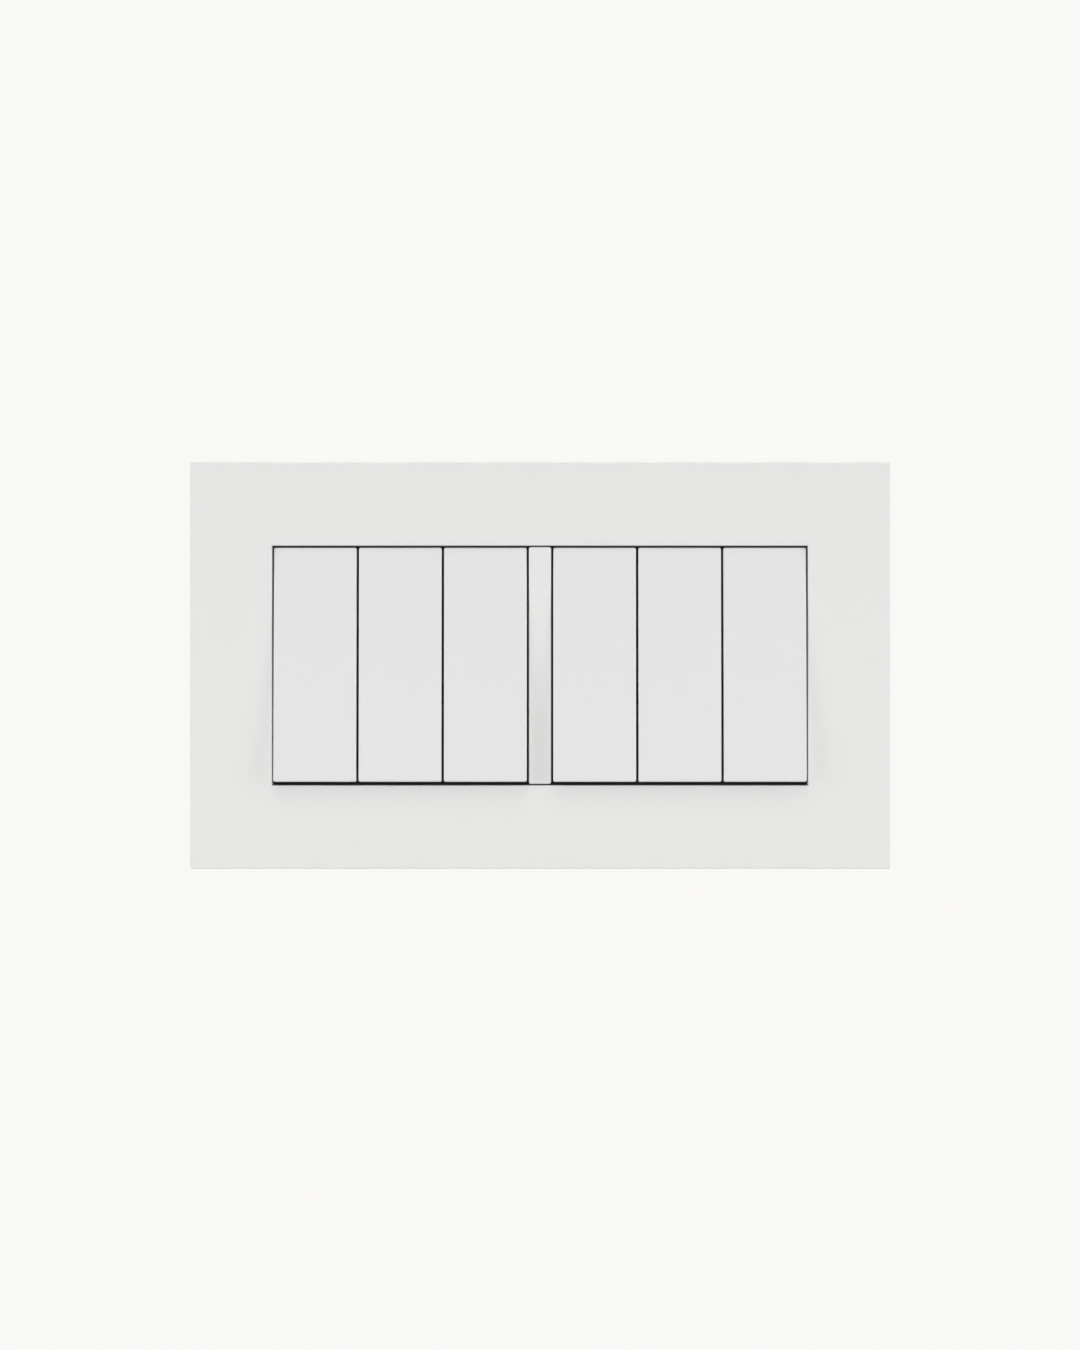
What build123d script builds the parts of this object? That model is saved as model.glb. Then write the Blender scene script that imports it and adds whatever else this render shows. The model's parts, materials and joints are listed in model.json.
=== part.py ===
from build123d import *
import math
import os

# A flush wall plate with six flat rocker switches in two groups of three and a slim strip between them.
# Frame of the model: the origin is the middle of the wall plane, +X runs to the right and +Z up, and the
# front of the switch looks along -Y. What stands in the wall box has positive Y. All sizes are millimetres.
# Every rocker is drawn upright and then turned to its off position: top edge in, bottom edge out.

# Cover frame: its borders round the window make a plate of 148 by 86
side_border = 17.35
end_border = 17.65
frame_depth = 8.5
frame_wall = 2.0
frame_corner = 0.4
frame_edge = 0.3
window_edge = 0.3
lip_wall = 1.2
lip_deck_gap = 0.5

# Rocker keys and the slim strip between the two groups
gangs_per_side = 3
key_width = 17.5
key_height = 49.5
key_gap = 0.5
side_gap = 0.35
end_gap = 0.6
key_rise = 0.7
key_skin = 1.8
key_deck_gap = 0.9
key_wall = 1.1
key_corner = 0.4
key_edge = 0.35
bar_width = 4.7
bar_side_gap = 0.45
bar_end_gap = 0.3
bar_recess = 0.2
bar_skin = 1.5
bar_wall = 0.9
bar_corner = 0.45
bar_edge = 0.3

# Rocker bearings and stem
rocker_tilt = 2.75
pin_radius = 1.3
bearing_clearance = 0.05
ear_thickness = 1.5
ear_rim = 0.95
ear_top_gap = 0.7
ear_side_gap = 0.3
ear_skirt_gap = 0.45
ear_mouth = 2.1
hub_rim = 0.7
stem_width = 7.0
stem_height = 6.4
stem_reach = 9.9
stem_taper = 1.5
bore_floor = 1.3
key_rib = 1.0
key_rib_height = 1.6

# Spring plunger
plunger_radius = 1.65
plunger_clearance = 0.1
plunger_length = 9.0
tip_reach = 14.2
tip_gap = 0.03
spigot_radius = 0.7
spigot_length = 1.4
spring_wire = 0.45
spring_turns = 6
spring_clearance = 0.2
spring_seat_gap = 0.04

# See-saw contact blade and its contacts
blade_tilt = 10.0
blade_width = 5.0
blade_end_width = 3.6
blade_thickness = 0.8
blade_reach = 9.6
blade_rise = 0.9
trunnion_radius = 0.8
trunnion_clearance = 0.05
cradle_thickness = 0.8
cradle_gap = 0.15
cradle_height = 3.6
contact_radius = 1.3
contact_edge = 0.1
contact_dome = 0.7
contact_gap = 0.04
fixed_contact_height = 0.9

# Terminals
strip_thickness = 0.8
strip_width = 5.0
tail_width = 3.0
tail_gap = 0.9
cage_width = 6.4
cage_length = 6.4
cage_divider = 1.0
cage_window_width = 3.6
cage_window_depth = 3.4
thread_wall = 2.8
cage_fit = 0.3
grub_radius = 1.75
grub_clearance = 0.03
grub_recess = 0.4
grub_slot = 0.6
access_clearance = 0.55

# Rear bases
pocket_side_gap = 0.4
pocket_end_gap = 2.0
base_wall = 1.5
floor_thickness = 1.6
divider = 1.6
end_wall = 2.6
rear_wall = 2.6
base_edge = 0.6
lug_relief_depth = 1.4
lug_relief_height = 18.0
entry_flare = 0.9

# Mounting plate
deck_thickness = 1.6
rim_height = 1.0
rim_width = 3.0
plate_fit = 0.3
opening_gap = 1.0
rear_rib = 1.2
centre_rib_gap = 0.3
fixing_offset = 3.75
slot_length = 6.5
slot_clearance = 0.25
pad_width = 12.0
pad_height = 16.0

# Snap catches between the cover frame and the mounting plate
catch_spacing = 45.0
catch_width = 7.0
hook_width = 9.0
catch_post = 1.3
catch_bite = 0.7
catch_skirt_gap = 0.4
catch_play = 0.2
hook_thickness = 0.8
hook_reach = 0.9
barb_height = 1.4
notch_width = 10.0
notch_depth = 1.4
frame_rib = 1.2
frame_rib_height = 1.1

# Clip fingers of the slim strip
finger_spacing = 34.0
finger_width = 7.0
finger_thickness = 0.8
finger_gap = 0.8
finger_barb = 0.55
finger_clearance = 0.2

# Screws
fixing_screw_radius = 1.75
fixing_screw_neck = 1.55
fixing_neck_end = 0.25
fixing_screw_length = 25.0
fixing_head_radius = 3.3
fixing_head_height = 2.1
base_screw_radius = 1.25
base_screw_length = 8.0
base_screw_head = 2.3
base_screw_cone = 1.05
base_screw_z = 6.0
screw_fit = 0.04
driver_slot = 0.7
driver_slot_depth = 0.7

# Places worked out from the sizes above
gang_pitch = key_width + key_gap
group_width = gangs_per_side * key_width + (gangs_per_side - 1) * key_gap
group_x = bar_width / 2 + bar_side_gap + group_width / 2
aperture_width = 2 * (group_x + group_width / 2 + side_gap)
aperture_height = key_height + 2 * end_gap
plate_width = aperture_width + 2 * side_border
plate_height = aperture_height + 2 * end_border
gang_offsets = [(i - (gangs_per_side - 1) / 2) * gang_pitch for i in range(gangs_per_side)]
gang_x = [side * group_x + offset for side in (-1, 1) for offset in gang_offsets]

deck_back = -rim_height
deck_front = deck_back - deck_thickness
frame_front = -frame_depth
frame_inside = frame_front + frame_wall
key_front = frame_front - key_rise
key_inside = key_front + key_skin
key_swing = key_height / 2 * math.sin(math.radians(rocker_tilt))
key_back = deck_front - key_deck_gap - key_swing
lip_back = deck_front - lip_deck_gap

ear_outer = key_width / 2 - key_wall - ear_skirt_gap
ear_inner = ear_outer - ear_thickness
hub_half = ear_inner - ear_side_gap
bearing_radius = pin_radius + bearing_clearance
ear_radius = bearing_radius + ear_rim
pivot_y = key_inside + ear_top_gap + ear_radius
bore_radius = plunger_radius + plunger_clearance
bore_end = key_inside + bore_floor

tip_y = pivot_y + tip_reach
plunger_back = tip_y - plunger_length
spring_radius = bore_radius - spring_clearance - spring_wire / 2
blade_pivot_y = tip_y + tip_gap + blade_rise
blade_back = blade_thickness - blade_rise
contact_offset = blade_reach - contact_radius - contact_edge
dome_radius = (contact_radius ** 2 + contact_dome ** 2) / (2 * contact_dome)
dome_centre = blade_back + contact_dome - dome_radius
tilt = math.radians(blade_tilt)
dome_swing = dome_centre * math.cos(tilt) + contact_offset * math.sin(tilt) + dome_radius
contact_face_y = blade_pivot_y + dome_swing + contact_gap
strip_front = contact_face_y + fixed_contact_height
floor_y = strip_front + strip_thickness

cage_pitch = cage_width + 2 * cage_fit + cage_divider
cage_back = floor_y + cage_window_depth + thread_wall
terminal_floor = cage_back + cage_fit
base_back = terminal_floor + rear_wall
pocket_half = blade_reach + pocket_end_gap
terminal_inner = pocket_half + divider
cage_inner = terminal_inner + cage_fit
cage_outer = cage_inner + cage_length
terminal_outer = cage_outer + cage_fit
base_half_height = terminal_outer + end_wall
base_half_width = gang_offsets[-1] + cage_pitch / 2 + cage_width / 2 + cage_fit + base_wall
cage_z = (cage_inner + cage_outer) / 2
fixing_centres = 2 * (group_x + base_half_width + fixing_offset)
grub_front = floor_y + cage_window_depth + grub_clearance

mount_width = plate_width - 2 * frame_wall - 2 * plate_fit
mount_height = plate_height - 2 * frame_wall - 2 * plate_fit
centre_rib_half = group_x - base_half_width - centre_rib_gap
slot_radius = fixing_screw_radius + slot_clearance


def prism(outline, y_back, y_front):
    """Carries an outline drawn in X and Z from its back plane forward to its front plane."""
    return extrude(Plane.XZ.offset(-y_back) * outline, amount=y_back - y_front)


def block(x_low, x_high, y_back, y_front, z_low, z_high):
    """A plain rectangular cut or pad given by its six sides."""
    outline = Pos((x_low + x_high) / 2, (z_low + z_high) / 2) * Rectangle(x_high - x_low, z_high - z_low)
    return prism(outline, y_back, y_front)


def rod(radius, y_back, y_front, x=0.0, z=0.0):
    """A round bar or hole that runs from front to back."""
    return prism(Pos(x, z) * Circle(radius), y_back, y_front)


def cross_rod(radius, x_low, x_high, y, z=0.0):
    """A round bar or hole that runs from left to right."""
    return Pos(x_low, y, z) * extrude(Plane.YZ * Circle(radius), amount=x_high - x_low)


def side_profile(points, x_middle, width):
    """Carries an outline of (y, z) points across X, centred on x_middle."""
    face = make_face(Polyline(*[(0, y, z) for y, z in points], close=True))
    return Pos(x_middle - width / 2, 0, 0) * extrude(face, amount=width, dir=(1, 0, 0))


def turned(points):
    """Spins a half outline of (radius, y) points about the Y axis."""
    face = make_face(Polyline(*[(r, y, 0) for r, y in points], close=True))
    return revolve(face, Axis.Y)


def mirror_z(shape):
    """The same shape upside down."""
    return mirror(shape, about=Plane.XY)


def rounded_front(shape, y, radius):
    """Rounds the outer edges of the face that lies on the plane y."""
    edges = shape.faces().sort_by(Axis.Y)[0].edges()
    return fillet(edges, radius)


# Cover frame: a shallow tray with a tall lip round its window, ribs, and hooks that snap on the plate
def frame_hook(x_middle):
    """A hook inside the upper wall: it lies between the plate and the barb of the plate's catch."""
    wall = plate_height / 2 - frame_wall
    back = deck_front - catch_play
    front = back - hook_thickness
    outline = [
        (back, wall + frame_wall / 2),
        (front, wall + frame_wall / 2),
        (front, wall - hook_reach),
        (back, wall - hook_reach / 2),
    ]
    return side_profile(outline, x_middle, hook_width)


def cover_frame():
    outer = RectangleRounded(plate_width, plate_height, frame_corner)
    body = rounded_front(prism(outer, 0, frame_front), frame_front, frame_edge)
    inside = Rectangle(plate_width - 2 * frame_wall, plate_height - 2 * frame_wall)
    body -= prism(inside, 0, frame_inside)
    lip = Rectangle(aperture_width + 2 * lip_wall, aperture_height + 2 * lip_wall)
    body += prism(lip, lip_back, frame_inside)
    for side in (-1, 1):
        head_x = side * fixing_centres / 2
        reach = fixing_head_radius + slot_length / 2
        body -= block(head_x - reach, head_x + reach, 0, deck_front - fixing_head_height - lip_deck_gap,
                      -reach, reach)
    window = prism(Rectangle(aperture_width, aperture_height), 0, 2 * frame_front)
    body -= window
    window_rim = body.faces().sort_by(Axis.Y)[0].inner_wires()[0].edges()
    body = fillet(window_rim, window_edge)
    rib_back = frame_inside + frame_rib_height
    for x in (-2 * catch_spacing / 3, -catch_spacing / 3, catch_spacing / 3, 2 * catch_spacing / 3):
        rib = block(x - frame_rib / 2, x + frame_rib / 2, rib_back, frame_inside,
                    aperture_height / 2 + lip_wall, plate_height / 2 - frame_wall)
        body += rib
        body += mirror_z(rib)
    for z in (-aperture_height / 4, aperture_height / 4):
        rib = block(aperture_width / 2 + lip_wall, plate_width / 2 - frame_wall, rib_back, frame_inside,
                    z - frame_rib / 2, z + frame_rib / 2)
        body += rib
        body += mirror(rib, about=Plane.YZ)
    for x in (-catch_spacing, 0, catch_spacing):
        hook = frame_hook(x)
        body += hook
        body += mirror_z(hook)
    body -= block(-notch_width / 2, notch_width / 2, 0, -notch_depth,
                  -plate_height / 2, -plate_height / 2 + frame_wall)
    return body


# Mounting plate: a ribbed deck with bearing ears for the rockers, slots for the box screws and snap catches
def bearing_ear(x_middle):
    """An upright ear with an open-fronted round bearing that a rocker pin snaps into."""
    ear = cross_rod(ear_radius, x_middle - ear_thickness / 2, x_middle + ear_thickness / 2, pivot_y)
    ear += block(x_middle - ear_thickness / 2, x_middle + ear_thickness / 2, deck_front, pivot_y,
                 -ear_radius, ear_radius)
    ear -= cross_rod(bearing_radius, x_middle - ear_thickness, x_middle + ear_thickness, pivot_y)
    ear -= block(x_middle - ear_thickness, x_middle + ear_thickness, pivot_y, pivot_y - 2 * ear_radius,
                 -ear_mouth / 2, ear_mouth / 2)
    return ear


def plate_catch(x_middle):
    """A post near the upper edge with a sloping barb that the frame's hook rides over."""
    outer = plate_height / 2 - frame_wall - catch_skirt_gap
    post = outer - catch_bite
    barb_back = deck_front - 2 * catch_play - hook_thickness
    barb_front = barb_back - barb_height
    outline = [
        (deck_front + deck_thickness / 2, post - catch_post),
        (deck_front + deck_thickness / 2, post),
        (barb_back, post),
        (barb_back, outer),
        (barb_front, post - catch_post / 4),
        (barb_front, post - catch_post),
    ]
    return side_profile(outline, x_middle, catch_width)


def base_screw_places():
    """The (x, z) places of the screws that hold the two bases: between gangs, above and below the middle."""
    between = [(a + b) / 2 for a, b in zip(gang_offsets, gang_offsets[1:])]
    columns = [side * group_x + x for side in (-1, 1) for x in between]
    return [(x, z) for x in columns for z in (-base_screw_z, base_screw_z)]


def mounting_plate():
    outline = RectangleRounded(mount_width, mount_height, frame_corner)
    body = prism(outline, 0, deck_front)
    recess = Rectangle(mount_width - 2 * rim_width, mount_height - 2 * rim_width)
    body -= prism(recess, 0, deck_back)
    body += block(-centre_rib_half, centre_rib_half, 0, deck_back, -mount_height / 2, mount_height / 2)
    rib_low = base_half_height + centre_rib_gap
    for x in gang_x:
        rib = block(x - rear_rib / 2, x + rear_rib / 2, 0, deck_back, rib_low, mount_height / 2)
        body += rib
        body += mirror_z(rib)
    for side in (-1, 1):
        pad = Pos(side * fixing_centres / 2, 0) * Rectangle(pad_width, pad_height)
        body += prism(pad, 0, deck_back)
    base_space = Rectangle(2 * (base_half_width + centre_rib_gap), 2 * (base_half_height + centre_rib_gap))
    for side in (-1, 1):
        body -= prism(Pos(side * group_x, 0) * base_space, 0, deck_back)
        slot = SlotOverall(slot_length, 2 * slot_radius)
        body -= prism(Pos(side * fixing_centres / 2, 0) * slot, 0, deck_front)
    for x in gang_x:
        opening = stem_height / 2 + opening_gap
        body -= block(x - ear_inner, x + ear_inner, 0, deck_front, -opening, opening)
        for side in (-1, 1):
            body += bearing_ear(x + side * (ear_inner + ear_outer) / 2)
    for x in (-catch_spacing, 0, catch_spacing):
        catch = plate_catch(x)
        body += catch
        body += mirror_z(catch)
    finger_half = finger_gap / 2 + finger_thickness + finger_clearance
    behind = finger_half + finger_barb
    for z in (-finger_spacing / 2, finger_spacing / 2):
        low = z - finger_width / 2 - finger_clearance
        high = z + finger_width / 2 + finger_clearance
        body -= block(-finger_half, finger_half, 0, deck_front, low, high)
        body -= block(-behind, behind, 0, deck_back, low, high)
    for x, z in base_screw_places():
        body -= Pos(x, 0, z) * turned([
            (0, 0), (base_screw_radius + screw_fit, 0),
            (base_screw_radius + screw_fit, deck_front + base_screw_cone),
            (base_screw_head + screw_fit, deck_front), (0, deck_front),
        ])
    return body


# Slim strip between the groups: a channel with two pairs of clip fingers
def clip_finger(z_middle):
    """One spring finger whose barb hooks behind the deck."""
    inner = finger_gap / 2
    outer = inner + finger_thickness
    front = frame_front + bar_recess + bar_skin / 2
    outline = Polyline(
        (inner, front), (outer, front), (outer, deck_back + finger_clearance / 2),
        (outer + finger_barb, deck_back + finger_clearance / 2),
        (inner, -finger_clearance / 2), close=True,
    )
    finger = extrude(make_face(outline), amount=finger_width)
    return Pos(0, 0, z_middle - finger_width / 2) * finger


def centre_bar():
    face_y = frame_front + bar_recess
    height = aperture_height - 2 * bar_end_gap
    skirt_back = deck_front - lip_deck_gap
    body = prism(RectangleRounded(bar_width, height, bar_corner), skirt_back, face_y)
    body = rounded_front(body, face_y, bar_edge)
    channel = Rectangle(bar_width - 2 * bar_wall, height - 2 * bar_wall)
    body -= prism(channel, skirt_back, face_y + bar_skin)
    for z in (-finger_spacing / 2, finger_spacing / 2):
        finger = clip_finger(z)
        body += finger
        body += mirror(finger, about=Plane.YZ)
    return body


# Rocker: a thin-walled key with a hub and pins on its back and a stem that carries the spring plunger
def rocker():
    body = prism(RectangleRounded(key_width, key_height, key_corner), key_back, key_front)
    body = rounded_front(body, key_front, key_edge)
    hollow = Rectangle(key_width - 2 * key_wall, key_height - 2 * key_wall)
    body -= prism(hollow, key_back, key_inside)
    hub_radius = pin_radius + hub_rim
    body += cross_rod(hub_radius, -hub_half, hub_half, pivot_y)
    body += block(-hub_half, hub_half, pivot_y, key_inside, -hub_radius, hub_radius)
    stem = Plane.XZ.offset(-key_inside) * Rectangle(stem_width, stem_height)
    body += extrude(stem, amount=key_inside - pivot_y - stem_reach, taper=stem_taper)
    pin_half = hub_half + ear_side_gap + ear_thickness
    body += cross_rod(pin_radius, -pin_half, pin_half, pivot_y)
    rib_x = stem_width / 2 - key_rib / 2
    for side in (-1, 1):
        body += block(side * rib_x - key_rib / 2, side * rib_x + key_rib / 2,
                      key_inside + key_rib_height, key_inside,
                      -key_height / 2 + key_wall, key_height / 2 - key_wall)
    body -= rod(bore_radius, pivot_y + stem_reach + stem_height, bore_end)
    return body


def plunger():
    """A round nylon pin with a domed tip, a shoulder for the spring and a spigot inside it."""
    dome = tip_y - plunger_radius
    outline = make_face(
        Polyline((0, tip_y, 0), (0, plunger_back - spigot_length, 0),
                 (spigot_radius, plunger_back - spigot_length, 0), (spigot_radius, plunger_back, 0),
                 (plunger_radius, plunger_back, 0), (plunger_radius, dome, 0))
        + CenterArc((0, dome), plunger_radius, 0, 90)
    )
    return revolve(outline, Axis.Y)


def spring():
    """A compression spring from the blind end of the rocker's bore to the plunger's shoulder."""
    start = bore_end + spring_seat_gap + spring_wire / 2
    length = plunger_back - spring_seat_gap - spring_wire / 2 - start
    path = Helix(pitch=length / spring_turns, height=length, radius=spring_radius)
    section = Plane(origin=path @ 0, z_dir=path % 0) * Rectangle(spring_wire, spring_wire)
    coil = sweep(section, path=path, is_frenet=True)
    return Pos(0, start, 0) * Rot(-90, 0, 0) * coil


# See-saw blade with its trunnions, and the domed contacts riveted to its ends
def contact_blade():
    outline = make_face(Polyline(
        (-blade_width / 2, 0), (-blade_end_width / 2, blade_reach), (blade_end_width / 2, blade_reach),
        (blade_width / 2, 0), (blade_end_width / 2, -blade_reach), (-blade_end_width / 2, -blade_reach),
        close=True,
    ))
    body = prism(outline, blade_pivot_y + blade_back, blade_pivot_y - blade_rise)
    half = blade_width / 2 + cradle_gap + cradle_thickness
    return body + cross_rod(trunnion_radius, -half, half, blade_pivot_y)


def moving_contacts():
    """Two domed contacts on the back of the blade."""
    dome = Pos(0, blade_pivot_y + dome_centre, contact_offset) * Sphere(dome_radius)
    back = blade_pivot_y + blade_back
    dome &= rod(contact_radius, back + contact_dome, back, 0, contact_offset)
    return Compound(children=[dome, mirror_z(dome)])


# Terminals: a contact strip that runs into a box clamp
def cage(x_middle):
    """A box clamp at the top of a gang: the wire enters from above and the grub screw from behind."""
    body = block(x_middle - cage_width / 2, x_middle + cage_width / 2, cage_back, strip_front,
                 cage_inner, cage_outer)
    body -= block(x_middle - cage_window_width / 2, x_middle + cage_window_width / 2,
                  floor_y + cage_window_depth, floor_y, cage_inner, cage_outer)
    return body - rod(grub_radius + grub_clearance, cage_back, floor_y, x_middle, cage_z)


def strip(x_low, x_high, z_low, z_high):
    """A flat stretch of contact strip on the floor of the pocket."""
    return block(x_low, x_high, floor_y, strip_front, z_low, z_high)


pad_inner = contact_offset - contact_radius - cage_fit
pad_outer = contact_offset + contact_radius + cage_fit
pad_half = contact_radius + cage_fit
tail_low = pad_half + tail_gap
tail_high = tail_low + tail_width


def l1_terminal():
    """Top terminal: a straight strip from the upper contact to its clamp."""
    return cage(0) + strip(-strip_width / 2, strip_width / 2, pad_inner, cage_inner)


def l2_terminal():
    """Bottom left terminal: the pad under the lower contact, stepped across to its clamp."""
    body = cage(-cage_pitch / 2)
    body += strip(-tail_high, pad_half, pad_inner, pad_outer)
    body += strip(-tail_high, -tail_low, pad_outer, cage_inner)
    return mirror_z(body)


def common_terminal():
    """Bottom right terminal: a cradle for the blade's trunnions, with a tail down to its clamp."""
    half = blade_width / 2 + cradle_gap + cradle_thickness
    body = cage(cage_pitch / 2)
    body += strip(tail_low, tail_high, -cradle_height / 2, cage_inner)
    body += strip(-half, tail_high, -cradle_height / 2, cradle_height / 2)
    seat = trunnion_radius + trunnion_clearance
    mouth = blade_pivot_y - trunnion_radius / 4
    for side in (-1, 1):
        inner = side * (half - cradle_thickness)
        outer = side * half
        body += block(min(inner, outer), max(inner, outer), floor_y, mouth,
                      -cradle_height / 2, cradle_height / 2)
    body -= cross_rod(seat, -half, half, blade_pivot_y)
    return mirror_z(body)


def fixed_contact(z):
    """A flat contact riveted to a strip."""
    button = rod(contact_radius, strip_front, contact_face_y, 0, z)
    return chamfer(button.edges().sort_by(Axis.Y)[0], contact_dome / 4)


# Rear base of one group: pockets for three mechanisms, and two raised rows of terminals
def terminal_places():
    """The (x, side) places of the clamps in one group: side 1 is the top row and -1 the bottom row."""
    places = []
    for offset in gang_offsets:
        places += [(offset, 1), (offset - cage_pitch / 2, -1), (offset + cage_pitch / 2, -1)]
    return places


def terminal_pocket(x_middle):
    """The space for one clamp in the top row, with its wire entry and its screwdriver hole."""
    half = cage_width / 2 + cage_fit
    cut = block(x_middle - half, x_middle + half, terminal_floor, deck_back, terminal_inner, terminal_outer)
    window = cage_window_width / 2
    cut += block(x_middle - window, x_middle + window, floor_y + cage_window_depth, floor_y,
                 cage_outer, base_half_height)
    middle = floor_y + cage_window_depth / 2
    mouth = Plane(origin=(x_middle, middle, base_half_height), z_dir=(0, 0, -1))
    flare = Rectangle(cage_window_width + entry_flare, cage_window_depth + entry_flare)
    cut += extrude(mouth * flare, amount=entry_flare / 2, taper=45)
    return cut + rod(grub_radius + access_clearance, base_back, terminal_floor, x_middle, cage_z)


def base():
    outline = Rectangle(2 * base_half_width, 2 * base_half_height)
    for side in (-1, 1):
        relief = Rectangle(2 * lug_relief_depth, lug_relief_height)
        outline -= Pos(side * base_half_width, 0) * relief
    body = prism(outline, base_back, deck_back)
    body = chamfer(body.faces().sort_by(Axis.Y)[-1].edges(), base_edge)
    body -= block(-base_half_width, base_half_width, base_back, floor_y + floor_thickness,
                  -pocket_half, pocket_half)
    pocket_side = tail_high + pocket_side_gap
    for offset in gang_offsets:
        body -= block(offset - pocket_side, offset + pocket_side, floor_y, deck_back,
                      -pocket_half, pocket_half)
        top = strip_width / 2 + cage_fit
        body -= block(offset - top, offset + top, floor_y, deck_back, 0, terminal_outer)
        for low, high in ((-tail_high, -tail_low), (tail_low, tail_high)):
            body -= block(offset + low - cage_fit, offset + high + cage_fit, floor_y, deck_back,
                          -terminal_inner, 0)
    for x, side in terminal_places():
        cut = terminal_pocket(x)
        body -= cut if side > 0 else mirror_z(cut)
    for x, z in base_screw_places():
        if x > 0:
            body -= rod(base_screw_radius + screw_fit, deck_front + base_screw_length + screw_fit, deck_back,
                        x - group_x, z)
    return body


# Fasteners
def grub_screw(x, z):
    """A slotted clamp screw, backed out so that the clamp stands open."""
    back = base_back - grub_recess
    body = rod(grub_radius, back, grub_front, x, z)
    return body - block(x - grub_radius, x + grub_radius, back, back - driver_slot_depth,
                        z - grub_slot / 2, z + grub_slot / 2)


def base_screw():
    """A countersunk screw from the deck into the base, drawn on the Y axis."""
    body = turned([
        (0, deck_front), (base_screw_head, deck_front), (base_screw_radius, deck_front + base_screw_cone),
        (base_screw_radius, deck_front + base_screw_length), (0, deck_front + base_screw_length),
    ])
    return body - block(-base_screw_head, base_screw_head, deck_front + driver_slot_depth, deck_front,
                        -driver_slot / 2, driver_slot / 2)


def fixing_screw():
    """A domed box screw through the plate's slot, drawn on the Y axis."""
    head_front = deck_front - fixing_head_height
    body = rod(fixing_head_radius, deck_front, head_front)
    body = fillet(body.edges().sort_by(Axis.Y)[0], fixing_head_height / 2)
    body += rod(fixing_screw_neck, deck_front + fixing_screw_length, deck_front)
    body += rod(fixing_screw_radius, deck_front + fixing_screw_length, fixing_neck_end)
    return body - block(-fixing_head_radius, fixing_head_radius, head_front + driver_slot_depth, head_front,
                        -driver_slot / 2, driver_slot / 2)


def group_of(solids):
    """Several separate solids that share one file."""
    return Compound(children=[part.solid() if isinstance(part, Part) else part for part in solids])


def main():
    os.makedirs("parts", exist_ok=True)
    parts = {
        "cover_frame": cover_frame(),
        "mounting_plate": mounting_plate(),
        "centre_bar": centre_bar(),
    }
    rear = base()
    parts["left_base"] = Pos(-group_x, 0, 0) * rear
    parts["right_base"] = Pos(group_x, 0, 0) * rear

    # The rocker, its spring and its plunger turn about the pins; the blade turns the other way.
    to_off = Pos(0, pivot_y, 0) * Rot(-rocker_tilt, 0, 0) * Pos(0, -pivot_y, 0)
    blade_off = Pos(0, blade_pivot_y, 0) * Rot(blade_tilt, 0, 0) * Pos(0, -blade_pivot_y, 0)
    gang = {
        "rocker": to_off * rocker(),
        "plunger": to_off * plunger(),
        "spring": to_off * spring(),
        "contact_blade": blade_off * contact_blade(),
        "moving_contacts": blade_off * moving_contacts(),
        "l1_terminal": l1_terminal(),
        "l2_terminal": l2_terminal(),
        "common_terminal": common_terminal(),
    }
    for number, x in enumerate(gang_x, start=1):
        for name, shape in gang.items():
            parts[f"{name}_{number}"] = Pos(x, 0, 0) * shape

    contacts = [fixed_contact(z) for z in (-contact_offset, contact_offset)]
    parts["fixed_contacts"] = group_of([Pos(x, 0, 0) * part for x in gang_x for part in contacts])
    clamps = [(side * group_x + x, row * cage_z) for side in (-1, 1) for x, row in terminal_places()]
    parts["terminal_screws"] = group_of([grub_screw(x, z) for x, z in clamps])
    screw = base_screw()
    parts["base_screws"] = group_of([Pos(x, 0, z) * screw for x, z in base_screw_places()])
    screw = fixing_screw()
    parts["fixing_screws"] = group_of([Pos(side * fixing_centres / 2, 0, 0) * screw for side in (-1, 1)])

    for name, shape in parts.items():
        export_step(shape, f"parts/{name}.step")


main()
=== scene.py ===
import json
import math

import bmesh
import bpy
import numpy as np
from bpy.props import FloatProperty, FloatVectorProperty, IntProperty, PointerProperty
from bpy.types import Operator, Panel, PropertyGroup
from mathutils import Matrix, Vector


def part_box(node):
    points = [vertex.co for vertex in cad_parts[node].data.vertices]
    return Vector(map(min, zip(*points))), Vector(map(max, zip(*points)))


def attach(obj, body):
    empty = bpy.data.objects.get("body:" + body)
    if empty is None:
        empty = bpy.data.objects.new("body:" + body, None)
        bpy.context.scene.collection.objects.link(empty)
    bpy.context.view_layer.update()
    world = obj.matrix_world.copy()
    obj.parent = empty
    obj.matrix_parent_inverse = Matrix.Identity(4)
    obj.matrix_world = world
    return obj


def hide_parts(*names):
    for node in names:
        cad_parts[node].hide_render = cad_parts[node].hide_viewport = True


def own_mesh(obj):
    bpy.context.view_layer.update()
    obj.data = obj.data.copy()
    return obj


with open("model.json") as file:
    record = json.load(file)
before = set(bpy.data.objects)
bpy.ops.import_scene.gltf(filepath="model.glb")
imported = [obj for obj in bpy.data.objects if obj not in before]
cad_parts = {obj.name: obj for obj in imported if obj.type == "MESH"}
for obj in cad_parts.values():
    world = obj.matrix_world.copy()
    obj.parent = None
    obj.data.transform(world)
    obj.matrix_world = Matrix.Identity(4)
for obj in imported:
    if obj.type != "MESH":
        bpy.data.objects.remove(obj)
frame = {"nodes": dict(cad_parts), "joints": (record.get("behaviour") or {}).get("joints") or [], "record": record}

bl_info = {
    "name": "Six-gang rocker switch",
    "version": (1, 0, 0),
    "blender": (4, 5, 0),
    "location": "3D View > Sidebar > Switch",
    "description": "Dresses a six-gang wall switch: keys, frame, screws, springs and finishes",
    "category": "Object",
}

# Lengths are millimetres in the object's own frame, with +X right, +Z up and the front looking
# along -Y. Angles are degrees. Names that end in POINTS count the points round a turned surface,
# a thread, a coil or its wire.
MM = 0.001
GANGS = range(1, 7)

# Edges between faces at more than these angles stay sharp
MOULDED_SHARP, TURNED_SHARP = 30, 35
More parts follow.
